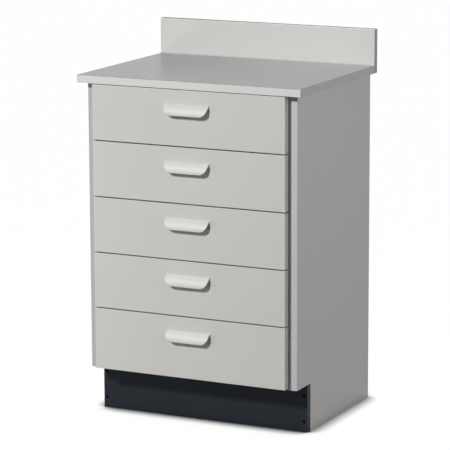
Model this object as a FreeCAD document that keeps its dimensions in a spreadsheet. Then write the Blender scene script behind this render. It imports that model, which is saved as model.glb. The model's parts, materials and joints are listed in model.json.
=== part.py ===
import FreeCAD, Part
import os
import re
import Sketcher

# Clinic base cabinet with five drawers under a laminate worktop with an upstand.
# Millimetres. X runs to the cabinet's right, Y to its back and Z up. The origin is on the
# floor, under the middle of the whole cabinet with its drawers shut.

# Driving dimensions
SIZES = {
    # Worktop
    "worktop_width": 622,
    "worktop_height": 889,
    "worktop_thickness": 20,
    "laminate_thickness": 0.8,
    "edging_thickness": 1,
    "front_overhang": 24,
    # Upstand along the back of the worktop
    "splash_rise": 95,
    "splash_thickness": 18,
    "splash_round": 1.5,
    "sealant_leg": 3,
    # Carcass boards
    "carcass_width": 584,
    "carcass_depth": 455,
    "side_thickness": 25,
    "board_thickness": 19,
    "band_thickness": 0.6,
    "rail_depth": 80,
    "back_thickness": 9,
    "back_rabbet": 10,
    "back_play": 0.5,
    "back_relief": 2,
    # Toe space
    "toe_height": 124,
    "toe_depth": 82,
    "kick_thickness": 19,
    "kick_relief": 1,
    # Drawer fronts
    "bottom_front_extra": 17,
    "front_thickness": 19,
    "front_gap": 3,
    "front_overlay": 2,
    "front_reveal": 3,
    "top_reveal": 2,
    "bottom_reveal": 4,
    "front_round": 1,
    # Drawer boxes
    "box_side_thickness": 15,
    "box_end_thickness": 15,
    "box_joint_depth": 5,
    "box_rise": 14,
    "box_top_clearance": 27,
    "box_floor_gap": 12,
    "box_bottom_thickness": 6,
    "box_bottom_rise": 10,
    # Pulls
    "pull_height": 28,
    "pull_projection": 17,
    "pull_thickness": 2.6,
    "pull_corner": 22,
    "pull_rim_round": 1,
    "pull_drop": 35.5,
    "pull_spacing": 96,
    "pull_boss_inset": 13,
    "pull_boss_radius": 4.5,
    "pull_boss_drop": 11,
    # Telescopic slides, measured from the side panel's inner face
    "slide_gap": 12.7,
    "slide_height": 45,
    "slide_metal_thickness": 1.2,
    "slide_race_clearance": 0.5,
    "slide_setback": 3,
    "slide_back_clearance": 43,
    "slide_outer_clearance": 3.5,
    "slide_web_clearance": 2,
    "slide_middle_clearance": 0.7,
    "slide_middle_shortfall": 20,
    "slide_inner_clearance": 0.9,
    # Fasteners
    "fit_play": 0.05,
    "drive_width": 1,
    "drive_depth": 1.1,
    "drive_inset": 1.2,
    "wood_screw_length": 27,
    "wood_screw_radius": 2,
    "wood_screw_head_radius": 4,
    "wood_screw_head_height": 2.2,
    "kick_screw_length": 32,
    "kick_screw_radius": 1.9,
    "kick_screw_head_radius": 3.6,
    "kick_screw_head_height": 1.4,
    "kick_recess_radius": 4.1,
    "kick_recess_depth": 2.5,
    "kick_screw_inset": 9.5,
    "kick_screw_low": 28,
    "kick_screw_drop": 27,
    "slide_screw_radius": 1.75,
    "slide_screw_head_radius": 3.2,
    "slide_screw_head_height": 1.3,
    "slide_screw_grip": 11,
    "pan_screw_radius": 2,
    "pan_screw_head_radius": 4,
    "pan_screw_head_height": 2.5,
    "pull_screw_grip": 8,
    "front_screw_grip": 12,
    "front_screw_spacing": 360,
    "front_screw_low": 28,
    "front_screw_drop": 27,
    "cam_radius": 7.5,
    "cam_height": 12.5,
    "cam_setback": 24,
    "cam_slot_width": 1.6,
    "cam_slot_depth": 2,
    "cam_bolt_radius": 2.5,
    "cam_bolt_grip": 11,
    "cam_bolt_stop": 2,
    "dowel_radius": 4,
    "dowel_length": 30,
    "dowel_grip": 12,
    "dowel_offset": 25,
    # How far a cut runs past what it cuts
    "overrun": 1,
}

DRAWERS = 5
UPPER_DRAWERS = DRAWERS - 1

# Sizes and places that follow from the driving dimensions
FORMULAS = {
    "reach": "pull_projection + front_thickness + front_gap",
    "front_y": "(reach - carcass_depth) / 2",
    "back_y": "(reach + carcass_depth) / 2",
    "board_front_y": "front_y + band_thickness",
    "board_back_y": "back_y - back_thickness",
    "board_length_y": "board_back_y - board_front_y",
    "inner_half": "carcass_width / 2 - side_thickness",
    "inner_width": "2 * inner_half",
    "carcass_top": "worktop_height - worktop_thickness",
    "core_thickness": "worktop_thickness - laminate_thickness",
    "worktop_front_y": "front_y - front_overhang",
    "worktop_back_y": "back_y - splash_thickness",
    "rail_low_z": "carcass_top - board_thickness",
    "rail_middle_z": "carcass_top - board_thickness / 2",
    "front_rail_y": "board_front_y + rail_depth / 2",
    "rear_rail_y": "board_back_y - rail_depth / 2",
    "floor_middle_z": "toe_height + board_thickness / 2",
    "base_rail_y": "board_back_y - board_thickness / 2",
    "notch_y": "front_y + toe_depth",
    "kick_front_y": "notch_y - kick_thickness",
    "front_top_z": "carcass_top - top_reveal",
    "fronts_height": "front_top_z - toe_height - bottom_reveal - %d * front_reveal" % UPPER_DRAWERS,
    "upper_front_height": "(fronts_height - bottom_front_extra) / %d" % DRAWERS,
    "front_pitch": "upper_front_height + front_reveal",
    "front_back_y": "front_y - front_gap",
    "front_face_y": "front_back_y - front_thickness",
    "front_width": "inner_width + 2 * front_overlay",
    "box_half": "inner_half - slide_gap",
    "box_inner_half": "box_half - box_side_thickness",
    "box_seat_half": "box_inner_half + box_joint_depth",
    "box_height": "upper_front_height - box_rise - box_top_clearance",
    "slide_front_y": "front_y + slide_setback",
    "slide_length": "board_back_y - slide_back_clearance - slide_front_y",
    "box_length": "slide_length + front_gap",
    "box_back_y": "front_back_y + box_length",
    "front_screw_high": "box_height - front_screw_drop",
    "kick_screw_high": "toe_height - kick_screw_drop",
    "slide_middle_length": "slide_length - slide_middle_shortfall",
    "slide_middle_y": "slide_front_y + slide_middle_shortfall / 2",
    "slide_nesting": "2 * slide_metal_thickness + 2 * slide_race_clearance",
    "slide_middle_height": "slide_height - slide_nesting",
    "slide_inner_height": "slide_middle_height - slide_nesting",
    "slide_outer_lips": "slide_gap - slide_outer_clearance",
    "slide_middle_web": "slide_metal_thickness + slide_web_clearance",
    "slide_middle_back": "slide_middle_web + slide_metal_thickness",
    "slide_middle_lips": "slide_inner_back - slide_middle_clearance",
    "slide_inner_back": "slide_gap - slide_metal_thickness",
    "slide_inner_lips": "slide_middle_back + slide_inner_clearance",
    "pull_width": "pull_spacing + 2 * pull_boss_inset",
    "pull_arc": "(pull_projection ^ 2 + pull_height ^ 2) / (2 * pull_projection)",
    "pull_centre_y": "front_face_y - pull_projection + pull_arc",
    "pull_seat": "sqrt((pull_arc - pull_thickness) ^ 2 - (pull_arc - pull_projection) ^ 2)",
}

# Where fasteners lie, as shares of the board or piece that carries them
back_screw_height_shares = (0.06, 0.28, 0.5, 0.72, 0.94)
back_screw_width_shares = (-0.5, 0.5)
worktop_screw_shares = (-0.6, 0, 0.6)
splash_screw_shares = (-0.85, -0.3, 0.3, 0.85)
floor_cam_shares = (0.2, 0.8)
floor_dowel_shares = (0.08, 0.5, 0.92)
base_dowel_shares = (0.3, 0.7)
slide_screw_shares = (0.12, 0.88)

SIDES = (-1, 1)
UP = FreeCAD.Vector(0, 0, 1)
DOWN = FreeCAD.Vector(0, 0, -1)
RIGHT = FreeCAD.Vector(1, 0, 0)
BACK = FreeCAD.Vector(0, 1, 0)
FRONT = FreeCAD.Vector(0, -1, 0)

doc = FreeCAD.newDocument("clinic_base_cabinet")
sheet = doc.addObject("Spreadsheet::Sheet", "Sizes")
for row, (alias, size) in enumerate(SIZES.items(), start=1):
    sheet.set("A%d" % row, alias)
    sheet.set("B%d" % row, str(size))
    sheet.setAlias("B%d" % row, alias)
doc.recompute()

nodes = []


def expand(formula):
    """The formula with derived names written out and driving names read from the sheet."""
    def replace(match):
        word = match.group()
        if word in FORMULAS:
            return "(" + expand(FORMULAS[word]) + ")"
        return "Sizes." + word if word in SIZES else word
    return re.sub(r"[a-z_]+", replace, formula)


def mm(formula):
    return float(sheet.evalExpression(expand(formula)))


def point(x, y, z):
    return FreeCAD.Vector(mm(x), mm(y), mm(z))


def node(name, item):
    """Name a finished sub-part; its file takes this name."""
    item.Label = name
    nodes.append(item)
    return item


def board(name, x, y, z):
    """A flat board. Each of x, y and z is its low side and its size."""
    item = doc.addObject("Part::Box", name)
    for side, axis, (low, size) in zip(("Length", "Width", "Height"), "xyz", (x, y, z)):
        item.setExpression(side, expand(size))
        item.setExpression("Placement.Base." + axis, expand(low))
    return item


def cut(name, blank, tool):
    item = doc.addObject("Part::Cut", name)
    item.Base = blank
    item.Tool = tool
    return item


def compound(name, items):
    item = doc.addObject("Part::Compound", name)
    item.Links = items
    return item


def group(name, shapes):
    """Separate like solids, such as one kind of fastener, as one object."""
    item = doc.addObject("Part::Feature", name)
    item.Shape = Part.makeCompound(shapes)
    item.Placement = FreeCAD.Placement()
    return item


def bored(name, blank, shapes):
    return cut(name, blank, group(name + "_bores", shapes))


def turned(shape, place, direction):
    """A copy of a shape that was made along +Z at the origin."""
    item = shape.copy()
    item.Placement = FreeCAD.Placement(place, FreeCAD.Rotation(UP, direction))
    return item


def origin_plane(body, role):
    return [feature for feature in body.Origin.OriginFeatures if feature.Role == role][0]


def outline(body, role, corners, arcs):
    """A closed outline on one of the body's own planes.

    Each corner is a pair of formulas. arcs gives the edges that are round: edge number to
    the formulas of the centre and the radius.
    """
    sketch = body.newObject("Sketcher::SketchObject", body.Name + "_outline")
    sketch.AttachmentSupport = [(origin_plane(body, role), "")]
    sketch.MapMode = "FlatFace"
    places = [FreeCAD.Vector(mm(u), mm(v), 0) for u, v in corners]
    ends = []
    for edge, start in enumerate(places):
        end = places[(edge + 1) % len(places)]
        if edge not in arcs:
            sketch.addGeometry(Part.LineSegment(start, end), False)
            ends.append((1, 2))
            continue
        centre_u, centre_v, radius = arcs[edge]
        centre = FreeCAD.Vector(mm(centre_u), mm(centre_v), 0)
        circle = Part.Circle(centre, UP, mm(radius))
        forward = (start - centre).cross(end - centre).z > 0
        first, last = (start, end) if forward else (end, start)
        arc = Part.ArcOfCircle(circle, circle.parameter(first), circle.parameter(last))
        sketch.addGeometry(arc, False)
        ends.append((1, 2) if forward else (2, 1))
    for edge, (u, v) in enumerate(corners):
        after = (edge + 1) % len(corners)
        sketch.addConstraint(Sketcher.Constraint("Coincident", edge, ends[edge][1], after, ends[after][0]))
        for kind, formula in (("DistanceX", u), ("DistanceY", v)):
            rule = Sketcher.Constraint(kind, -1, 1, edge, ends[edge][0], mm(formula))
            sketch.setExpression("Constraints[%d]" % sketch.addConstraint(rule), expand(formula))
    for edge, (centre_u, centre_v, radius) in arcs.items():
        rule = Sketcher.Constraint("Radius", edge, mm(radius))
        sketch.setExpression("Constraints[%d]" % sketch.addConstraint(rule), expand(radius))
    return sketch


def profile(name, role, corners, length, place, arcs=None):
    """A solid of one outline; place is the formulas of the body's position."""
    body = doc.addObject("PartDesign::Body", name)
    pad = body.newObject("PartDesign::Pad", name + "_pad")
    pad.Profile = outline(body, role, corners, arcs or {})
    pad.setExpression("Length", expand(length))
    for axis, formula in zip("xyz", place):
        body.setExpression("Placement.Base." + axis, expand(formula))
    return body


# Fasteners

def cross_recess(head_radius, top):
    """The driver's cross in a screw head whose flat end is at the height top."""
    width, depth = mm("drive_width"), mm("drive_depth")
    length = 2 * (head_radius - mm("drive_inset"))
    low = top - depth
    across = Part.makeBox(length, width, depth, FreeCAD.Vector(-length / 2, -width / 2, low))
    along = Part.makeBox(width, length, depth, FreeCAD.Vector(-width / 2, -length / 2, low))
    return across.fuse(along)


def pan_screw(head_radius, head_height, radius, length, play):
    """A screw along Z: its head stands on z = 0 and its shank points down.

    Play is the room round it: none makes the screw itself, more makes its bore.
    """
    head = Part.makeCylinder(head_radius + play, head_height + play)
    shank = Part.makeCylinder(radius + play, length + play, FreeCAD.Vector(0, 0, 0), DOWN)
    screw = head.fuse(shank).removeSplitter()
    return screw.cut(cross_recess(head_radius, head_height)) if play == 0 else screw


def flush_screw(head_radius, head_height, radius, length, play):
    """A countersunk screw along Z: its flat head is level with z = 0."""
    head = Part.makeCone(head_radius + play, radius + play, head_height, FreeCAD.Vector(0, 0, 0), DOWN)
    shank = Part.makeCylinder(radius + play, length + play, FreeCAD.Vector(0, 0, 0), DOWN)
    screw = head.fuse(shank).removeSplitter()
    return screw.cut(cross_recess(head_radius, 0)) if play == 0 else screw


def wood_screw(play):
    return flush_screw(mm("wood_screw_head_radius"), mm("wood_screw_head_height"),
                       mm("wood_screw_radius"), mm("wood_screw_length"), play)


def kick_screw(play):
    return pan_screw(mm("kick_screw_head_radius"), mm("kick_screw_head_height"),
                     mm("kick_screw_radius"), mm("kick_screw_length"), play)


def slide_screw(play):
    return pan_screw(mm("slide_screw_head_radius"), mm("slide_screw_head_height"),
                     mm("slide_screw_radius"), mm("slide_metal_thickness + slide_screw_grip"), play)


def front_screw(grip, play):
    return pan_screw(mm("pan_screw_head_radius"), mm("pan_screw_head_height"),
                     mm("pan_screw_radius"), mm(grip), play)


def at(shape, places):
    """Copies of a fastener at a list of places and outward directions."""
    return [turned(shape, place, direction) for place, direction in places]


def back_screw_places():
    """Through the back panel into the side panels, the floor board and the rails."""
    places = []
    for side in SIDES:
        for share in back_screw_height_shares:
            x = "%d * (inner_half + back_rabbet / 2)" % side
            places.append((point(x, "back_y", "%g * carcass_top" % share), BACK))
    for share in back_screw_width_shares:
        for height in ("rail_middle_z", "floor_middle_z", "toe_height / 2"):
            places.append((point("%g * inner_half" % share, "back_y", height), BACK))
    return places


def worktop_screw_places():
    """Up through the top rails into the worktop."""
    return [(point("%g * inner_half" % share, rail_y, "rail_low_z"), DOWN)
            for rail_y in ("front_rail_y", "rear_rail_y") for share in worktop_screw_shares]


def splash_screw_places():
    """From behind, through the upstand into the worktop's rear edge."""
    return [(point("%g * worktop_width / 2" % share, "back_y", "carcass_top + core_thickness / 2"), BACK)
            for share in splash_screw_shares]


def kick_screw_places():
    head_y = "kick_front_y + kick_recess_depth"
    return [(point("%d * (carcass_width / 2 - kick_screw_inset)" % side, head_y, height), FRONT)
            for side in SIDES for height in ("kick_screw_low", "kick_screw_high")]


def kick_recesses():
    recess = Part.makeCylinder(mm("kick_recess_radius"), mm("kick_recess_depth + overrun"))
    return at(recess, kick_screw_places())


def slide_screw_places(drawer, x, outward):
    """Two screws in each of a drawer's two slide members, heads facing the member's open side."""
    places = []
    for side in SIDES:
        for share in slide_screw_shares:
            y = "slide_front_y + %g * slide_length" % share
            places.append((point("%d * (%s)" % (side, x), y, drawer["slide_z"]), RIGHT * (side * outward)))
    return places


def cam_places():
    """The cams that pull the floor board and the top rails to the side panels."""
    places = []
    for side in SIDES:
        for share in floor_cam_shares:
            places.append((side, "board_front_y + %g * board_length_y" % share, "toe_height"))
        for rail_y in ("front_rail_y", "rear_rail_y"):
            places.append((side, rail_y, "rail_low_z"))
    return places


def cams(play):
    """Cam locks, open from below, each with the bore that its bolt enters."""
    shapes = []
    bore_radius = mm("cam_bolt_radius + fit_play")
    for side, y, low in cam_places():
        centre = point("%d * (inner_half - cam_setback)" % side, y, low)
        cam = Part.makeCylinder(mm("cam_radius") + play, mm("cam_height") + play, centre)
        if play == 0:
            middle = centre + point("0", "0", "board_thickness / 2")
            bore = Part.makeCylinder(bore_radius, mm("cam_setback"), middle, RIGHT * side)
            slot = Part.makeBox(mm("2 * cam_radius"), mm("cam_slot_width"), mm("cam_slot_depth"),
                                centre - point("cam_radius", "cam_slot_width / 2", "0"))
            cam = cam.cut(bore).cut(slot)
        shapes.append(cam)
    return shapes


def cam_bolts(play):
    shapes = []
    length = mm("cam_setback - cam_bolt_stop + cam_bolt_grip") + play
    for side, y, low in cam_places():
        x = "%d * (inner_half - cam_setback + cam_bolt_stop)" % side
        start = point(x, y, low + " + board_thickness / 2")
        shapes.append(Part.makeCylinder(mm("cam_bolt_radius") + play, length, start, RIGHT * side))
    return shapes


def dowels(play):
    """Dowels beside the cams, and alone in the base rail."""
    places = []
    for side in SIDES:
        for share in floor_dowel_shares:
            places.append((side, "board_front_y + %g * board_length_y" % share, "floor_middle_z"))
        for rail_y in ("front_rail_y", "rear_rail_y"):
            for offset in SIDES:
                places.append((side, "%s + %d * dowel_offset" % (rail_y, offset), "rail_middle_z"))
        for share in base_dowel_shares:
            places.append((side, "base_rail_y", "%g * toe_height" % share))
    shapes = []
    for side, y, z in places:
        start = point("%d * (inner_half + dowel_grip - dowel_length)" % side, y, z) - RIGHT * side * play
        shapes.append(Part.makeCylinder(mm("dowel_radius") + play, mm("dowel_length") + play * len(SIDES),
                                        start, RIGHT * side))
    return shapes


def carcass_screw_bores():
    places = back_screw_places() + worktop_screw_places() + splash_screw_places()
    return at(wood_screw(mm("fit_play")), places)


def joint_bores():
    """Bores for the cams, their bolts and the dowels."""
    play = mm("fit_play")
    return cams(play) + cam_bolts(play) + dowels(play)


# Drawers, from the top one down

def drawer_list():
    """Each drawer's heights, as formulas."""
    drawers = []
    for number in range(1, DRAWERS + 1):
        if number < DRAWERS:
            front_low = "front_top_z - %d * front_pitch + front_reveal" % number
            front_height = "upper_front_height"
            box_low = front_low + " + box_rise"
        else:
            front_low = "toe_height + bottom_reveal"
            front_height = "upper_front_height + bottom_front_extra"
            box_low = "toe_height + board_thickness + box_floor_gap"
        pull_top = "%s + %s - pull_drop" % (front_low, front_height)
        drawers.append({
            "name": "drawer_%d" % number,
            "front_low": front_low,
            "front_height": front_height,
            "box_low": box_low,
            "slide_z": box_low + " + box_height / 2",
            "pull_top": pull_top,
            "pull_low": pull_top + " - pull_height",
        })
    return drawers


def pull_screw_places(drawer):
    return [(point("%d * pull_spacing / 2" % side, "front_back_y + box_end_thickness",
                   drawer["pull_top"] + " - pull_boss_drop"), BACK) for side in SIDES]


def front_screw_places(drawer):
    return [(point("%d * front_screw_spacing / 2" % side, "front_back_y + box_end_thickness",
                   "%s + %s" % (drawer["box_low"], height)), BACK)
            for side in SIDES for height in ("front_screw_low", "front_screw_high")]


def drawer_screws(drawer, play):
    """Screws for the pull, the front and the slide members that the box carries."""
    pull_grip = "box_end_thickness + front_thickness + pull_screw_grip"
    front_grip = "box_end_thickness + front_screw_grip"
    member_places = slide_screw_places(drawer, "box_half + slide_metal_thickness", 1)
    return (at(front_screw(pull_grip, play), pull_screw_places(drawer))
            + at(front_screw(front_grip, play), front_screw_places(drawer))
            + at(slide_screw(play), member_places))


def drawer_front(drawer, bores):
    """A flat front with softened edges on its show face."""
    name = drawer["name"] + "_front"
    low, high = drawer["front_low"], "%s + %s" % (drawer["front_low"], drawer["front_height"])
    corners = [("-front_width / 2", low), ("front_width / 2", low),
               ("front_width / 2", high), ("-front_width / 2", high)]
    body = profile(name + "_board", "XZ_Plane", corners, "front_thickness", ("0", "front_back_y", "0"))
    doc.recompute()
    pad = body.Tip
    show = min(range(len(pad.Shape.Faces)), key=lambda face: pad.Shape.Faces[face].CenterOfMass.y)
    softened = body.newObject("PartDesign::Fillet", name + "_edges")
    softened.Base = (pad, ["Face%d" % (show + 1)])
    softened.setExpression("Radius", expand("front_round"))
    body.Tip = softened
    node(name, bored(name, body, bores))


def rim_edges(blade, face_y):
    """Numbers of the edges round the blade's outer face, but not where it meets the front."""
    outer = max(blade.Faces, key=lambda face: face.Area)
    return [number for number, edge in enumerate(blade.Edges, start=1)
            if any(edge.isSame(side) for side in outer.Edges)
            and min(corner.Point.y for corner in edge.Vertexes) < face_y - mm("pull_rim_round")]


def drawer_pull(drawer, bores):
    """A thin blade that curves out and down from the front, on two screw bosses."""
    name = drawer["name"] + "_pull"
    top, low = drawer["pull_top"], drawer["pull_low"]
    lip_y = "front_face_y - pull_projection"
    across = ("-pull_width / 2", "0", "0")
    outer_arc = ("pull_centre_y", low, "pull_arc")
    inner_arc = ("pull_centre_y", low, "pull_arc - pull_thickness")
    filled = profile(name + "_filled", "YZ_Plane",
                     [("front_face_y", top), (lip_y, low), ("front_face_y", low)],
                     "pull_width", across, {0: outer_arc})
    left, right = "-pull_width / 2", "pull_width / 2"
    round_low = low + " + pull_corner"
    plate = profile(name + "_plate", "XZ_Plane",
                    [(left, top), (left, round_low), (left + " + pull_corner", low),
                     (right + " - pull_corner", low), (right, round_low), (right, top)],
                    "pull_projection + overrun", ("0", "front_face_y", "0"),
                    {1: (left + " + pull_corner", round_low, "pull_corner"),
                     3: (right + " - pull_corner", round_low, "pull_corner")})
    rounded = doc.addObject("Part::Common", name + "_rounded")
    rounded.Base = filled
    rounded.Tool = plate
    inner_top = low + " + pull_seat"
    past_low = low + " - overrun"
    hollow = profile(name + "_hollow", "YZ_Plane",
                     [("front_face_y", inner_top), (lip_y + " + pull_thickness", low),
                      (lip_y + " + pull_thickness", past_low), ("front_face_y + overrun", past_low),
                      ("front_face_y + overrun", inner_top)],
                     "pull_width + 2 * overrun", ("-pull_width / 2 - overrun", "0", "0"), {0: inner_arc})
    bosses = []
    for side in SIDES:
        boss = doc.addObject("Part::Cylinder", "%s_boss_%s" % (name, "right" if side > 0 else "left"))
        boss.setExpression("Radius", expand("pull_boss_radius"))
        boss.setExpression("Height", expand("pull_projection"))
        boss.Placement = FreeCAD.Placement(FreeCAD.Vector(0, 0, 0), FreeCAD.Rotation(UP, FRONT))
        boss.setExpression("Placement.Base.x", expand("%d * pull_spacing / 2" % side))
        boss.setExpression("Placement.Base.y", expand("front_face_y"))
        boss.setExpression("Placement.Base.z", expand(top + " - pull_boss_drop"))
        bosses.append(boss)
    finger_space = cut(name + "_finger_space", hollow, compound(name + "_bosses", bosses))
    blade = cut(name + "_blade", rounded, finger_space)
    doc.recompute()
    softened = doc.addObject("Part::Fillet", name + "_rim")
    softened.Base = blade
    rim, face_y = mm("pull_rim_round"), mm("front_face_y")
    softened.Edges = [(edge, rim, rim) for edge in rim_edges(blade.Shape, face_y)]
    node(name, bored(name, softened, bores))


def drawer_box(drawer, bores):
    """Two long sides with grooves, two ends that seat in their rabbets, and the loose bottom."""
    name, low = drawer["name"], drawer["box_low"]
    height = (low, "box_height")
    groove = (low + " + box_bottom_rise", "box_bottom_thickness")
    sides = []
    for side, word in zip(SIDES, ("left", "right")):
        x = "-box_half" if side < 0 else "box_inner_half"
        side_blank = board("%s_box_%s_blank" % (name, word), (x, "box_side_thickness"),
                           ("front_back_y", "box_length"), height)
        seat_x = "-box_seat_half" if side < 0 else "box_inner_half - overrun"
        seat_width = "box_joint_depth + overrun"
        past = (low + " - overrun", "box_height + 2 * overrun")
        seats = [
            board("%s_%s_front_rabbet" % (name, word), (seat_x, seat_width),
                  ("front_back_y - overrun", "box_end_thickness + overrun"), past),
            board("%s_%s_back_rabbet" % (name, word), (seat_x, seat_width),
                  ("box_back_y - box_end_thickness", "box_end_thickness + overrun"), past),
            board("%s_%s_groove" % (name, word), (seat_x, seat_width),
                  ("front_back_y - overrun", "box_length + 2 * overrun"), groove),
        ]
        fused = doc.addObject("Part::MultiFuse", "%s_%s_seats" % (name, word))
        fused.Shapes = seats
        grooved = cut("%s_box_%s_side" % (name, word), side_blank, fused)
        sides.append(bored("%s_box_%s" % (name, word), grooved, bores))
    node(name + "_box_sides", compound(name + "_box_sides", sides))

    ends = []
    for word, y, groove_y in (
            ("front", "front_back_y", "front_back_y + box_end_thickness - box_joint_depth"),
            ("back", "box_back_y - box_end_thickness", "box_back_y - box_end_thickness - overrun")):
        across = ("-box_seat_half", "2 * box_seat_half")
        end_blank = board("%s_box_%s_blank" % (name, word), across, (y, "box_end_thickness"), height)
        slot_x = ("-box_seat_half - overrun", "2 * box_seat_half + 2 * overrun")
        slot_y = (groove_y, "box_joint_depth + overrun")
        slot = board("%s_box_%s_groove" % (name, word), slot_x, slot_y, groove)
        end = cut("%s_box_%s_end" % (name, word), end_blank, slot)
        ends.append(bored("%s_box_%s" % (name, word), end, bores) if word == "front" else end)
    node(name + "_box_ends", compound(name + "_box_ends", ends))

    inner_length = "box_length - 2 * box_end_thickness + 2 * box_joint_depth"
    bottom = board(name + "_box_bottom", ("-box_seat_half", "2 * box_seat_half"),
                   ("front_back_y + box_end_thickness - box_joint_depth", inner_length), groove)
    node(name + "_box_bottom", bottom)


# Telescopic slides

def channel(name, web, lips, height, y, length):
    """A long channel on the right side: web and lips are places measured from the side panel.

    The web is a plate as high as the channel, and the lips run from it to the given place.
    """
    web_start, web_end = web
    outer_x = "inner_half - (%s)" % web_start
    web_x = "inner_half - (%s)" % web_end
    lip_x = "inner_half - (%s)" % lips
    top = "%s / 2" % height
    lip = "%s / 2 - slide_metal_thickness" % height
    corners = [(outer_x, "-" + top), (outer_x, top), (lip_x, top), (lip_x, lip),
               (web_x, lip), (web_x, "-(%s)" % lip), (lip_x, "-(%s)" % lip), (lip_x, "-" + top)]
    return profile(name, "XZ_Plane", corners, length, ("0", "%s + %s" % (y, length), "0"))


def pair(member, height):
    """A member and its mirror image on the left, raised to a drawer's slide."""
    raised = member.Shape.copy()
    raised.translate(point("0", "0", height))
    return [raised, raised.mirror(FreeCAD.Vector(0, 0, 0), RIGHT)]


def bored_pair(member, height, bores):
    return Part.makeCompound(pair(member, height)).cut(Part.makeCompound(bores)).Solids


# Carcass

def side_panel(name, side, bores):
    """A side panel that reaches the floor, with the toe notch and the back panel's rabbet."""
    x = "-carcass_width / 2" if side < 0 else "inner_half"
    corners = [("board_front_y", "toe_height"), ("board_front_y", "carcass_top"), ("back_y", "carcass_top"),
               ("back_y", "0"), ("notch_y", "0"), ("notch_y", "toe_height")]
    body = profile(name + "_board", "YZ_Plane", corners, "side_thickness", (x, "0", "0"))
    rabbet_x = "-inner_half - back_rabbet" if side < 0 else "inner_half - overrun"
    rabbet = board(name + "_rabbet", (rabbet_x, "back_rabbet + overrun"),
                   ("board_back_y", "back_thickness + overrun"), ("-overrun", "carcass_top + 2 * overrun"))
    node(name, bored(name, cut(name + "_rabbeted", body, rabbet), bores))


def edge_bands():
    """Thin bands on the front edges of the side panels and the floor board."""
    front = ("front_y", "band_thickness")
    tall = ("toe_height", "carcass_top - toe_height")
    bands = [
        board("left_band", ("-carcass_width / 2", "side_thickness"), front, tall),
        board("right_band", ("inner_half", "side_thickness"), front, tall),
        board("floor_band", ("-inner_half", "inner_width"), front, ("toe_height", "board_thickness")),
    ]
    node("edge_bands", compound("edge_bands", bands))


def inside_board(name, y, z, bores):
    """A board between the side panels."""
    return bored(name, board(name + "_board", ("-inner_half", "inner_width"), y, z), bores)


def worktop():
    """Core, edging on three sides, laminate over both, the upstand and the sealant in its joint."""
    half = "worktop_width / 2"
    core_z = ("carcass_top", "core_thickness")
    long_y = ("worktop_front_y + edging_thickness", "worktop_back_y - worktop_front_y - edging_thickness")
    core_x = ("-%s + edging_thickness" % half, "worktop_width - 2 * edging_thickness")
    core = board("worktop_core_board", core_x, long_y, core_z)
    node("worktop_core", bored("worktop_core", core, carcass_screw_bores()))
    front_strip_y = ("worktop_front_y", "edging_thickness")
    strips = [
        board("front_edging", ("-" + half, "worktop_width"), front_strip_y, core_z),
        board("left_edging", ("-" + half, "edging_thickness"), long_y, core_z),
        board("right_edging", (half + " - edging_thickness", "edging_thickness"), long_y, core_z),
    ]
    node("worktop_edging", compound("worktop_edging", strips))
    sheet_y = ("worktop_front_y", "worktop_back_y - sealant_leg - worktop_front_y")
    node("worktop_laminate", board("worktop_laminate", ("-" + half, "worktop_width"), sheet_y,
                                   ("carcass_top + core_thickness", "laminate_thickness")))

    left, right = "-" + half, half
    top = "worktop_height + splash_rise"
    splash = profile("backsplash_board", "XZ_Plane",
                     [(left, "carcass_top"), (right, "carcass_top"), (right, top), (left, top)],
                     "splash_thickness", ("0", "back_y", "0"))
    doc.recompute()
    pad = splash.Tip
    high = max(range(len(pad.Shape.Faces)), key=lambda face: pad.Shape.Faces[face].CenterOfMass.z)
    softened = splash.newObject("PartDesign::Fillet", "backsplash_edges")
    softened.Base = (pad, ["Face%d" % (high + 1)])
    softened.setExpression("Radius", expand("splash_round"))
    splash.Tip = softened
    node("backsplash", bored("backsplash", splash, carcass_screw_bores()))
    bead_y, bead_low = "worktop_back_y - sealant_leg", "worktop_height - laminate_thickness"
    bead = [("worktop_back_y", bead_low), (bead_y, bead_low), (bead_y, "worktop_height"),
            ("worktop_back_y", "worktop_height + sealant_leg")]
    sealant = profile("backsplash_sealant", "YZ_Plane", bead, "worktop_width", (left, "0", "0"))
    node("backsplash_sealant", sealant)


drawers = drawer_list()
play = mm("fit_play")
cabinet_slide_places = [place for drawer in drawers
                        for place in slide_screw_places(drawer, "inner_half - slide_metal_thickness", -1)]
cabinet_slide_bores = at(slide_screw(play), cabinet_slide_places)
kick_bores = at(kick_screw(play), kick_screw_places())
side_bores = joint_bores() + carcass_screw_bores() + kick_bores + cabinet_slide_bores

side_panel("side_panel_left", SIDES[0], side_bores)
side_panel("side_panel_right", SIDES[1], side_bores)
edge_bands()
inner_bores = joint_bores() + carcass_screw_bores()
node("bottom_panel", inside_board("bottom_panel", ("board_front_y", "board_length_y"),
                                  ("toe_height", "board_thickness"), inner_bores))
rail_z = ("rail_low_z", "board_thickness")
node("top_rails", compound("top_rails", [
    inside_board("front_top_rail", ("board_front_y", "rail_depth"), rail_z, inner_bores),
    inside_board("rear_top_rail", ("board_back_y - rail_depth", "rail_depth"), rail_z, inner_bores)]))
node("base_rail", inside_board("base_rail", ("board_back_y - board_thickness", "board_thickness"),
                               ("0", "toe_height"), inner_bores))
back_panel = board("back_panel_board", ("-inner_half - back_rabbet + back_play",
                                        "inner_width + 2 * back_rabbet - 2 * back_play"),
                   ("board_back_y", "back_thickness"), ("back_relief", "carcass_top - back_relief"))
node("back_panel", bored("back_panel", back_panel, carcass_screw_bores()))
kick_blank = board("kick_board_board", ("-carcass_width / 2", "carcass_width"),
                   ("kick_front_y", "kick_thickness"), ("0", "toe_height - kick_relief"))
kick_sunk = bored("kick_board_sunk", kick_blank, kick_recesses())
node("kick_board", bored("kick_board", kick_sunk, kick_bores))
worktop()

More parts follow.
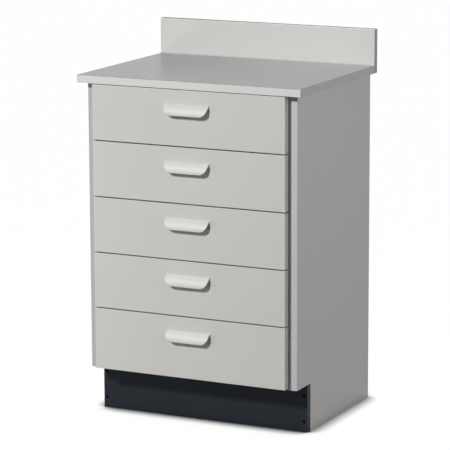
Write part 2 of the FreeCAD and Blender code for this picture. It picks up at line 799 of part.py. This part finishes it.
carcass_screw_places = back_screw_places() + worktop_screw_places() + splash_screw_places()
node("carcass_screws", group("carcass_screws", at(wood_screw(0), carcass_screw_places)))
node("kick_screws", group("kick_screws", at(kick_screw(0), kick_screw_places())))
node("cam_locks", group("cam_locks", cams(0)))
node("cam_bolts", group("cam_bolts", cam_bolts(0)))
node("dowels", group("dowels", dowels(0)))

outer_member = channel("slide_outer_profile", ("0", "slide_metal_thickness"), "slide_outer_lips",
                       "slide_height", "slide_front_y", "slide_length")
middle_member = channel("slide_middle_profile", ("slide_middle_web", "slide_middle_back"),
                        "slide_middle_lips", "slide_middle_height", "slide_middle_y", "slide_middle_length")
inner_member = channel("slide_inner_profile", ("slide_gap", "slide_inner_back"), "slide_inner_lips",
                       "slide_inner_height", "slide_front_y", "slide_length")
doc.recompute()
outer_members = []
for drawer in drawers:
    outer_members += bored_pair(outer_member, drawer["slide_z"], cabinet_slide_bores)
node("slide_cabinet_members", group("slide_cabinet_members", outer_members))
node("slide_screws", group("slide_screws", at(slide_screw(0), cabinet_slide_places)))

for drawer in drawers:
    name = drawer["name"]
    bores = drawer_screws(drawer, play)
    drawer_front(drawer, bores)
    drawer_pull(drawer, bores)
    drawer_box(drawer, bores)
    node(name + "_slide_middles",
         group(name + "_slide_middles", pair(middle_member, drawer["slide_z"])))
    node(name + "_slide_members",
         group(name + "_slide_members", bored_pair(inner_member, drawer["slide_z"], bores)))
    node(name + "_screws", group(name + "_screws", drawer_screws(drawer, 0)))

doc.recompute()

# Check everything, then write one file for each sub-part
for item in doc.Objects:
    if "Invalid" in item.State or "Error" in item.State:
        raise RuntimeError("%s failed: %s" % (item.Label, item.State))
for item in nodes:
    if item.Shape.isNull() or not item.Shape.isValid():
        raise RuntimeError("%s has no valid shape" % item.Label)
os.makedirs("parts", exist_ok=True)
for item in nodes:
    item.Shape.exportStep("parts/%s.step" % item.Label)
print(len(nodes), "sub-parts")
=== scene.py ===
import json
import math

import bmesh
import bpy
from mathutils import Color, Matrix, Vector

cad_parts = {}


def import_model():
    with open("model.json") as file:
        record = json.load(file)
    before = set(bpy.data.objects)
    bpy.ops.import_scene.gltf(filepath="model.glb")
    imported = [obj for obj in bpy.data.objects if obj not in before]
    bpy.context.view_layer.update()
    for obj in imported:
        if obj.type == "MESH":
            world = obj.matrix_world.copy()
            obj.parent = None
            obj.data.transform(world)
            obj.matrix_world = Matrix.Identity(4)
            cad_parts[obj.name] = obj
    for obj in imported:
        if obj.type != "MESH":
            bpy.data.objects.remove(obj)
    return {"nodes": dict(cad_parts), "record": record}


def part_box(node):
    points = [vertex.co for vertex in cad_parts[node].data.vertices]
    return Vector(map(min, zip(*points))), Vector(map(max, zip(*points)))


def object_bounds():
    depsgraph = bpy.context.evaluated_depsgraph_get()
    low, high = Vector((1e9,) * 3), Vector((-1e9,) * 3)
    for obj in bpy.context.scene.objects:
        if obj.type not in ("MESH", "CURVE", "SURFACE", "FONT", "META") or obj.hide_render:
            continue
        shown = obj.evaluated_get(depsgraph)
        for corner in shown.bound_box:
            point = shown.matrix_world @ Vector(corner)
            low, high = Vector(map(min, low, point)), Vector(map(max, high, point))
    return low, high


# Looks of the clinic base cabinet: board, laminate, plastic and steel surfaces, a pale floor,
# soft studio light and the camera. Lengths are metres and angles are degrees.

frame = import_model()
cad_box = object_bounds()
cad_middle = (cad_box[0] + cad_box[1]) / 2
nodes = frame["nodes"]
slot_of = {part["node"]: part["material_slot"] for part in frame["record"]["subparts"]}

MM = 0.001

# Axes, and the sides that a face can look to: an axis and a sign
X, Y, Z = range(3)
FORWARD = (Y, -1)
BACKWARD = (Y, 1)
UPWARD = (Z, 1)
DOWNWARD = (Z, -1)
# A face looks along an axis when its normal's share along that axis is above this
LOOKS_ALONG = 0.5

# Camera, as fitted to the straight edges of the cabinet. It aims at a point inside the cabinet,
# shifted a little to the picture's left and up.
IMAGE_PX = 450
FOCAL_PX = 2562.7
SENSOR_MM = 36
CAMERA_AZIMUTH = 26.2
CAMERA_ELEVATION = 11.37
CAMERA_ROLL = -0.24
CAMERA_DISTANCE = 6.66
CAMERA_AIM = Vector((0, 0.0175, 0.45))
AIM_RIGHT = -0.0156
AIM_UP = 0.0308

# Light: each level is the share of a colour's brightness that a face square to it shows
WORLD_LEVEL = 0.055
KEY_LEVEL = 0.87
LEFT_LEVEL = 0.17
FILL_LEVEL = 0.3
TOP_LEVEL = 0.17
BACK_LEVEL = 0.42

# Floor: a disc. Its shadow is full and gone at two shares of open space around a point.
FLOOR_RADIUS = 40
FLOOR_SIDES = 96
FLOOR_GLOW = 0.95
SHADOW_REACH = 75 * MM
SHADOW_FULL = 0.5
SHADOW_GONE = 0.85

# Melamine, laminate and plastic colours, as seen on a screen, 0 to 255
SCREEN_WHITE = 255
BOARD = (199, 197, 193)
PANEL = (200, 198, 196)
BAND = (193, 191, 194)
# Darker colour for the edge band's pieces on the cabinet's left: painted shade
LEFT_BAND_PAINTED_SHADE = (172, 171, 172)
# Worktop laminate, darker than the upstand's laminate of the same kind: painted shade on its upward face
TOP_PAINTED_SHADE = (137, 137, 140)
UPSTAND = (200, 198, 194)
# Darker colour for the upstand's top face: painted shade
UPSTAND_TOP_PAINTED_SHADE = (124, 124, 126)
EDGING = (210, 209, 206)
# Darker colour for the sideways-looking ends of the worktop edging and the upstand: painted shade
END_EDGING_PAINTED_SHADE = (180, 180, 183)
KICK = (28, 34, 40)
PULL = (203, 204, 199)
SEALANT = (172, 172, 170)
BOX = (226, 226, 222)
BOX_FLOOR = (222, 221, 216)
DARK_CHIP = (158, 128, 90)
MIDDLE_CHIP = (196, 168, 128)
PALE_CHIP = (216, 194, 158)
KRAFT = (168, 134, 96)
BEECH = (206, 172, 126)
ZINC = (196, 198, 200)
CAST_ZINC = (168, 170, 172)
BLACK_FINISH = (4, 4, 4)

# Linear colours
BLACK = (0, 0, 0, 1)
FLOOR_GREY = (0.8, 0.8, 0.8, 1)
WHITE = (1, 1, 1, 1)

# Widths that more than one surface has: the chips of raw board and the fleck of laminate
CHIP = 2.2 * MM
FLECK = 1.1 * MM

# Most of a noise's values lie between these two
NOISE_LOW = 0.3
NOISE_HIGH = 0.7


def linear(screen_colour, share=1.0):
    """A screen colour as the shader's linear colour, lightened or darkened by a share."""
    colour = Color([channel / SCREEN_WHITE for channel in screen_colour])
    red, green, blue = colour.from_srgb_to_scene_linear()
    return (red * share, green * share, blue * share, 1)


class Tree:
    """The nodes of a material or a world, with short calls to add to them."""

    def __init__(self, owner):
        owner.use_nodes = True
        self.nodes = owner.node_tree.nodes
        self.links = owner.node_tree.links

    def add(self, kind, **sockets):
        """A new node; each keyword is an input's name, with a value or an output to link."""
        node = self.nodes.new(kind)
        for name, value in sockets.items():
            self.feed(node.inputs[name], value)
        return node

    def feed(self, socket, value):
        """Link an output to an input, or set the input to a value."""
        if isinstance(value, bpy.types.NodeSocket):
            self.links.new(value, socket)
        else:
            socket.default_value = value

    def calculate(self, operation, first, second=0.0):
        """A number worked out from one or two others."""
        node = self.nodes.new("ShaderNodeMath")
        node.operation = operation
        self.feed(node.inputs[0], first)
        self.feed(node.inputs[1], second)
        return node.outputs[0]

    def scaled(self, factor, start, end):
        """A factor from 0 to 1 as a number that runs from start to end."""
        node = self.add("ShaderNodeMapRange", Value=factor)
        self.feed(node.inputs["To Min"], start)
        self.feed(node.inputs["To Max"], end)
        return node.outputs["Result"]

    def ramp(self, factor, stops):
        """Colours along a factor; each stop is a place from 0 to 1 and a linear colour."""
        node = self.add("ShaderNodeValToRGB", Fac=factor)
        band = node.color_ramp
        while len(band.elements) < len(stops):
            band.elements.new(1)
        for element, (place, colour) in zip(band.elements, stops):
            element.position = place
            element.color = colour
        return node.outputs["Color"]

    def blend(self, factor, first, second):
        """The first colour where the factor is 0, the second where it is 1."""
        node = self.nodes.new("ShaderNodeMix")
        node.data_type = "RGBA"
        self.feed(node.inputs["Factor"], factor)
        self.feed(node.inputs["A"], first)
        self.feed(node.inputs["B"], second)
        return node.outputs["Result"]


class Surface(Tree):
    """A procedural material: a Principled shader and the patterns that feed it."""

    def __init__(self, name, specular=0.5, metallic=0.0):
        self.material = bpy.data.materials.new(name)
        super().__init__(self.material)
        self.shader = self.nodes["Principled BSDF"]
        self.feed(self.shader.inputs["Specular IOR Level"], specular)
        self.feed(self.shader.inputs["Metallic"], metallic)
        self.place = self.add("ShaderNodeTexCoord").outputs["Object"]
        self.normal = self.add("ShaderNodeNewGeometry").outputs["True Normal"]

    def colour(self, value):
        """Set the surface's colour."""
        self.feed(self.shader.inputs["Base Color"], value)

    def roughness(self, value):
        """Set how rough the surface is, from 0 for a mirror to 1."""
        self.feed(self.shader.inputs["Roughness"], value)

    def bump(self, height, depth):
        """Give the surface relief of about this depth."""
        node = self.add("ShaderNodeBump", Height=height, Distance=depth)
        self.feed(self.shader.inputs["Normal"], node.outputs["Normal"])

    def stretched(self, stretch):
        """The surface's own place, drawn out along an axis by a stretch above 1."""
        node = self.add("ShaderNodeMapping", Vector=self.place)
        self.feed(node.inputs["Scale"], [1 / factor for factor in stretch])
        return node.outputs["Vector"]

    def noise(self, size, detail, stretch=(1, 1, 1)):
        """Soft noise whose blots are about this size."""
        place = self.stretched(stretch)
        node = self.add("ShaderNodeTexNoise", Vector=place, Scale=1 / size, Detail=detail)
        return node.outputs["Fac"]

    def cells(self, size, stretch=(1, 1, 1)):
        """A random value for each chip of about this size."""
        node = self.add("ShaderNodeTexVoronoi", Vector=self.stretched(stretch), Scale=1 / size)
        return self.add("ShaderNodeSeparateColor", Color=node.outputs["Color"]).outputs["Red"]

    def tint(self, factor, screen_colour, spread):
        """The colour, varied by a small share up and down with the factor."""
        dark = linear(screen_colour, 1 - spread)
        light = linear(screen_colour, 1 + spread)
        return self.ramp(factor, [(NOISE_LOW, dark), (NOISE_HIGH, light)])

    def share_along(self, vector, axis):
        """The number of a place or a direction that belongs to the axis."""
        return self.add("ShaderNodeSeparateXYZ", Vector=vector).outputs[axis]

    def faces_along(self, axis):
        """1 on faces square to the axis, 0 elsewhere."""
        size = self.calculate("ABSOLUTE", self.share_along(self.normal, axis))
        return self.calculate("GREATER_THAN", size, LOOKS_ALONG)

    def facing(self, axis, sign):
        """1 on faces that look along the axis to the given side, 0 elsewhere."""
        turned = self.calculate("MULTIPLY", self.share_along(self.normal, axis), sign)
        return self.calculate("GREATER_THAN", turned, LOOKS_ALONG)

    def left_of(self, limit):
        """1 where the surface lies to the cabinet's left of a place along X, 0 elsewhere."""
        return self.calculate("LESS_THAN", self.share_along(self.place, X), limit)


def chipboard(surface):
    """Colour of raw particle board: pressed chips of several browns."""
    chips = surface.cells(CHIP, stretch=(1, 1.6, 1))
    dust = surface.noise(size=0.6 * MM, detail=4)
    stops = [(0.0, linear(DARK_CHIP)), (0.5, linear(MIDDLE_CHIP)), (1.0, linear(PALE_CHIP))]
    dusted = surface.scaled(dust, start=0.0, end=0.45)
    return surface.blend(dusted, surface.ramp(chips, stops), linear(DARK_CHIP, share=0.8))


def kraft(surface):
    """Colour of a brown backing sheet with its fibres along X."""
    fibres = surface.noise(size=6 * MM, detail=5, stretch=(8, 1, 1))
    return surface.tint(fibres, KRAFT, spread=0.12)


def melamine(name, screen_colour, faces, roughness=0.38, specular=0.45, banded=None, band_side=None):
    """Faced board: fine orange-peel texture on its faces, which look along the axis that faces
    gives. Its edges are raw, or banded all round, or banded in the board's own colour on one
    side, given as an axis and a sign."""
    drift_share = 0.35
    band_spread = 0.015
    surface = Surface(name, specular=specular)
    grain = surface.noise(size=1.4 * MM, detail=3)
    drift = surface.noise(size=180 * MM, detail=1)
    grained = surface.tint(grain, screen_colour, spread=0.02)
    drifted = surface.tint(drift, screen_colour, spread=0.02)
    face = surface.blend(drift_share, grained, drifted)
    edge = chipboard(surface) if banded is None else surface.tint(grain, banded, band_spread)
    if band_side is not None:
        own_band = surface.tint(grain, screen_colour, band_spread)
        edge = surface.blend(surface.facing(*band_side), edge, own_band)
    surface.colour(surface.blend(surface.faces_along(faces), edge, face))
    surface.roughness(surface.scaled(drift, start=roughness - 0.03, end=roughness + 0.05))
    surface.bump(grain, depth=0.05 * MM)
    return surface.material


def worktop_laminate():
    """High-pressure laminate: a satin sheet with a very fine fleck, its colour darkened as painted shade on
    this upward face.
    """
    cloud_share = 0.4
    surface = Surface("worktop_laminate_finish", specular=0.5)
    fleck = surface.noise(size=FLECK, detail=4)
    cloud = surface.noise(size=90 * MM, detail=2)
    flecked = surface.tint(fleck, TOP_PAINTED_SHADE, spread=0.035)
    clouded = surface.tint(cloud, TOP_PAINTED_SHADE, spread=0.02)
    surface.colour(surface.blend(cloud_share, flecked, clouded))
    surface.roughness(surface.scaled(cloud, start=0.27, end=0.36))
    surface.bump(fleck, depth=0.03 * MM)
    return surface.material


def upstand_board():
    """The upstand: laminate in front, darker colours on its top and ends as painted shade, and a kraft
    backing sheet.
    """
    edge_roughness = 0.75
    face_roughness = 0.34
    surface = Surface("upstand_finish", specular=0.45)
    fleck = surface.noise(size=FLECK, detail=4)
    front = surface.tint(fleck, UPSTAND, spread=0.025)
    # Its top face and its ends take darker colours: painted shade
    edges = surface.blend(surface.faces_along(X), linear(UPSTAND_TOP_PAINTED_SHADE), linear(END_EDGING_PAINTED_SHADE))
    face = surface.faces_along(Y)
    front_and_edges = surface.blend(face, edges, front)
    surface.colour(surface.blend(surface.facing(*BACKWARD), front_and_edges, kraft(surface)))
    surface.roughness(surface.scaled(face, start=edge_roughness, end=face_roughness))
    surface.bump(fleck, depth=0.03 * MM)
    return surface.material


def worktop_core():
    """Particle board with a kraft backing sheet below."""
    surface = Surface("worktop_core_finish", specular=0.3)
    surface.colour(surface.blend(surface.facing(*DOWNWARD), chipboard(surface), kraft(surface)))
    surface.roughness(0.75)
    surface.bump(surface.cells(CHIP), depth=0.15 * MM)
    return surface.material


def edge_strip(name, screen_colour, roughness, along, ends=None, left=None):
    """Extruded edging: fine lines along an axis. Where they differ, ends is a darker colour painted
    on its faces that look sideways, and left a darker colour painted on its pieces on the
    cabinet's left; both are painted shade."""
    spread = 0.012
    surface = Surface(name, specular=0.45)
    stretch = [1, 1, 1]
    stretch[along] = 30
    lines = surface.noise(size=0.8 * MM, detail=3, stretch=stretch)
    colour = surface.tint(lines, screen_colour, spread)
    if ends is not None:
        # Faces that look sideways get a darker colour: painted shade
        colour = surface.blend(surface.faces_along(X), colour, surface.tint(lines, ends, spread))
    if left is not None:
        # Pieces on the cabinet's left get a darker colour: painted shade
        left_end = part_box("edge_bands")[0][X]
        painted_shade_left_part = surface.left_of(left_end / 2)
        colour = surface.blend(painted_shade_left_part, colour, surface.tint(lines, left, spread))
    surface.colour(colour)
    surface.roughness(roughness)
    surface.bump(lines, depth=0.015 * MM)
    return surface.material


def moulded_plastic():
    """Off-white moulded pulls: smooth, with the faint flow of a moulding."""
    surface = Surface("pull_plastic_finish", specular=0.4)
    flow = surface.noise(size=22 * MM, detail=2, stretch=(3, 1, 1))
    skin = surface.noise(size=0.7 * MM, detail=2)
    surface.feed(surface.shader.inputs["Subsurface Weight"], 0.08)
    surface.feed(surface.shader.inputs["Subsurface Radius"], (4 * MM, 3 * MM, 2 * MM))
    surface.feed(surface.shader.inputs["Subsurface Scale"], 1)
    surface.colour(surface.tint(flow, PULL, spread=0.012))
    surface.roughness(surface.scaled(flow, start=0.39, end=0.46))
    surface.bump(skin, depth=0.008 * MM)
    return surface.material


def rolled_steel():
    """Zinc-plated slides: streaks along their length, which lies on Y, and a faint bloom."""
    bloom_share = 0.5
    surface = Surface("slide_steel_finish", metallic=1.0)
    streaks = surface.noise(size=1.2 * MM, detail=4, stretch=(1, 40, 1))
    bloom = surface.noise(size=14 * MM, detail=3)
    streaked = surface.tint(streaks, ZINC, spread=0.08)
    bloomed = surface.tint(bloom, ZINC, spread=0.05)
    surface.colour(surface.blend(bloom_share, streaked, bloomed))
    surface.roughness(surface.scaled(streaks, start=0.24, end=0.44))
    surface.bump(streaks, depth=0.01 * MM)
    return surface.material


def small_metal(name, screen_colour, metallic, roughness, specular=0.5):
    """Small turned or cast pieces: fine even speckle."""
    surface = Surface(name, specular=specular, metallic=metallic)
    speckle = surface.noise(size=0.5 * MM, detail=3)
    surface.colour(surface.tint(speckle, screen_colour, spread=0.08))
    surface.roughness(surface.scaled(speckle, start=roughness - 0.06, end=roughness + 0.1))
    surface.bump(speckle, depth=0.01 * MM)
    return surface.material


def beech():
    """Dowel wood with its grain along X."""
    surface = Surface("beech_finish", specular=0.3)
    grain = surface.noise(size=1.2 * MM, detail=5, stretch=(14, 1, 1))
    surface.colour(surface.tint(grain, BEECH, spread=0.14))
    surface.roughness(0.6)
    surface.bump(grain, depth=0.04 * MM)
    return surface.material


def sealant():
    """A cured bead: smooth, slightly uneven."""
    surface = Surface("sealant_finish", specular=0.5)
    waves = surface.noise(size=9 * MM, detail=2)
    surface.colour(surface.tint(waves, SEALANT, spread=0.02))
    surface.roughness(0.28)
    surface.bump(waves, depth=0.06 * MM)
    return surface.material


# The record's material slots
finishes = {
    "carcass_board": melamine("carcass_board_finish", PANEL, faces=X),
    # The edge band's pieces on the cabinet's left carry painted shade
    "edge_band": edge_strip("edge_band_finish", BAND, roughness=0.42, along=Z, left=LEFT_BAND_PAINTED_SHADE),
    "kick_board": melamine("kick_board_finish", KICK, faces=Y, roughness=0.5, specular=0.15, banded=KICK),
    "worktop_core": worktop_core(),
    # The edging's sideways ends carry painted shade
    "worktop_edging": edge_strip("worktop_edging_finish", EDGING, roughness=0.36, along=X, ends=END_EDGING_PAINTED_SHADE),
    "worktop_laminate": worktop_laminate(),
    "sealant": sealant(),
    "zinc_screws": small_metal("zinc_screw_finish", ZINC, metallic=1.0, roughness=0.3),
    "black_screws": small_metal("black_screw_finish", BLACK_FINISH, metallic=0.0, roughness=0.7,
                                specular=0.05),
    "cam_metal": small_metal("cam_finish", CAST_ZINC, metallic=1.0, roughness=0.42),
    "dowel_wood": beech(),
    "slide_steel": rolled_steel(),
    "drawer_front": melamine("drawer_front_finish", BOARD, faces=Y, banded=BAND),
    "pull_plastic": moulded_plastic(),
    "box_board": melamine("box_side_finish", BOX, faces=X, roughness=0.45, band_side=UPWARD),
    "box_bottom": melamine("box_bottom_finish", BOX_FLOOR, faces=Z, roughness=0.5),
}
# Boards whose faces look another way than their slot's usual one
own_finishes = {
    "backsplash": upstand_board(),
    "bottom_panel": melamine("floor_board_finish", PANEL, faces=Z),
    "top_rails": melamine("rail_finish", PANEL, faces=Z, band_side=FORWARD),
    "base_rail": melamine("base_rail_finish", PANEL, faces=Y),
    "back_panel": melamine("back_panel_finish", PANEL, faces=Y),
}
box_end_finish = melamine("box_end_finish", BOX, faces=Y, roughness=0.45, band_side=UPWARD)
for name in nodes:
    if name.endswith("_box_ends"):
        own_finishes[name] = box_end_finish

for name, item in nodes.items():
    item.data.materials.clear()
    item.data.materials.append(own_finishes.get(name) or finishes[slot_of[name]])


def placed(name, data):
    """A new object in the scene."""
    item = bpy.data.objects.new(name, data)
    bpy.context.scene.collection.objects.link(item)
    return item


def outward(azimuth, elevation):
    """The direction from the cabinet to a camera or lamp. Azimuth 0 is straight in front."""
    turn = math.radians(azimuth)
    rise = math.radians(elevation)
    return Vector((math.sin(turn) * math.cos(rise), -math.cos(turn) * math.cos(rise), math.sin(rise)))


def camera():
    """A long lens at the picture's own viewing angle."""
    back = outward(CAMERA_AZIMUTH, CAMERA_ELEVATION)
    level = Vector((0, 0, 1)).cross(back).normalized()
    roll = Matrix.Rotation(math.radians(CAMERA_ROLL), 3, back)
    right = roll @ level
    up = roll @ back.cross(level)
    data = bpy.data.cameras.new("camera")
    data.sensor_width = SENSOR_MM
    data.lens = FOCAL_PX / IMAGE_PX * SENSOR_MM
    data.clip_end = 4 * FLOOR_RADIUS
    item = placed("camera", data)
    item.matrix_world = Matrix((right, up, back)).transposed().to_4x4()
    item.location = CAMERA_AIM + right * AIM_RIGHT + up * AIM_UP + back * CAMERA_DISTANCE
    bpy.context.scene.camera = item


def lamp(name, azimuth, elevation, distance, width, height, level):
    """A soft box aimed at the cabinet's middle, with the power that gives its level there."""
    direction = outward(azimuth, elevation)
    data = bpy.data.lights.new(name, "AREA")
    data.shape = "RECTANGLE"
    data.size = width
    data.size_y = height
    data.energy = level * math.pi ** 2 * distance ** 2
    item = placed(name, data)
    item.location = cad_middle + direction * distance
    item.rotation_mode = "QUATERNION"
    item.rotation_quaternion = (-direction).to_track_quat("-Z", "Y")
    return item


def seen_directly(tree):
    """1 for rays that the camera, a reflection or clear material sees directly, else 0."""
    rays = tree.add("ShaderNodeLightPath").outputs
    camera_or_glossy = tree.calculate("MAXIMUM", rays["Is Camera Ray"], rays["Is Glossy Ray"])
    return tree.calculate("MAXIMUM", camera_or_glossy, rays["Is Transmission Ray"])


def world():
    """Even white surroundings, dimmer as light than as background."""
    item = bpy.data.worlds.new("surroundings")
    bpy.context.scene.world = item
    tree = Tree(item)
    background = tree.nodes["Background"]
    tree.feed(background.inputs["Color"], WHITE)
    tree.feed(background.inputs["Strength"], tree.scaled(seen_directly(tree), start=WORLD_LEVEL, end=1))


def floor_finish():
    """Matt floor with a glow that makes it show white, save for a soft shadow at the cabinet."""
    material = bpy.data.materials.new("floor_finish")
    tree = Tree(material)
    tree.nodes.remove(tree.nodes["Principled BSDF"])
    matt = tree.add("ShaderNodeBsdfDiffuse", Color=FLOOR_GREY)
    openness = tree.add("ShaderNodeAmbientOcclusion", Distance=SHADOW_REACH).outputs["AO"]
    shadow = tree.ramp(openness, [(SHADOW_FULL, BLACK), (SHADOW_GONE, WHITE)])
    strength = tree.calculate("MULTIPLY", seen_directly(tree), FLOOR_GLOW)
    glow = tree.add("ShaderNodeEmission", Color=shadow, Strength=strength)
    both = tree.nodes.new("ShaderNodeAddShader")
    tree.feed(both.inputs[0], matt.outputs[0])
    tree.feed(both.inputs[1], glow.outputs[0])
    tree.feed(tree.nodes["Material Output"].inputs["Surface"], both.outputs[0])
    return material


def floor():
    """A wide disc under the cabinet."""
    mesh = bpy.data.meshes.new("floor")
    shape = bmesh.new()
    bmesh.ops.create_circle(shape, cap_ends=True, segments=FLOOR_SIDES, radius=FLOOR_RADIUS)
    shape.to_mesh(mesh)
    shape.free()
    mesh.materials.append(floor_finish())
    item = placed("floor", mesh)
    return item


def leave_out(lamps, item):
    """The lamps don't light this object, so it shows only the shadow of the even surroundings."""
    group = bpy.data.collections.new("lit_by_surroundings_only")
    group.objects.link(item)
    group.collection_objects[0].light_linking.link_state = "EXCLUDE"
    for light in lamps:
        light.light_linking.receiver_collection = group


camera()
world()
lamps = [
    lamp("key", azimuth=-15, elevation=33, distance=7, width=0.7, height=0.8, level=KEY_LEVEL),
    lamp("left_fill", azimuth=-50, elevation=-12, distance=1.6, width=0.7, height=0.4, level=LEFT_LEVEL),
    lamp("side_fill", azimuth=82, elevation=17, distance=2.8, width=1.4, height=1.4, level=FILL_LEVEL),
    lamp("top_fill", azimuth=128, elevation=71, distance=0.97, width=0.4, height=0.25, level=TOP_LEVEL),
    lamp("back_fill", azimuth=190, elevation=5, distance=6, width=3, height=2, level=BACK_LEVEL),
]
# Of the lamps, only the key shows in reflections
for fill in lamps[1:]:
    fill.visible_glossy = False
leave_out(lamps, floor())
bpy.context.scene.view_settings.view_transform = "Standard"
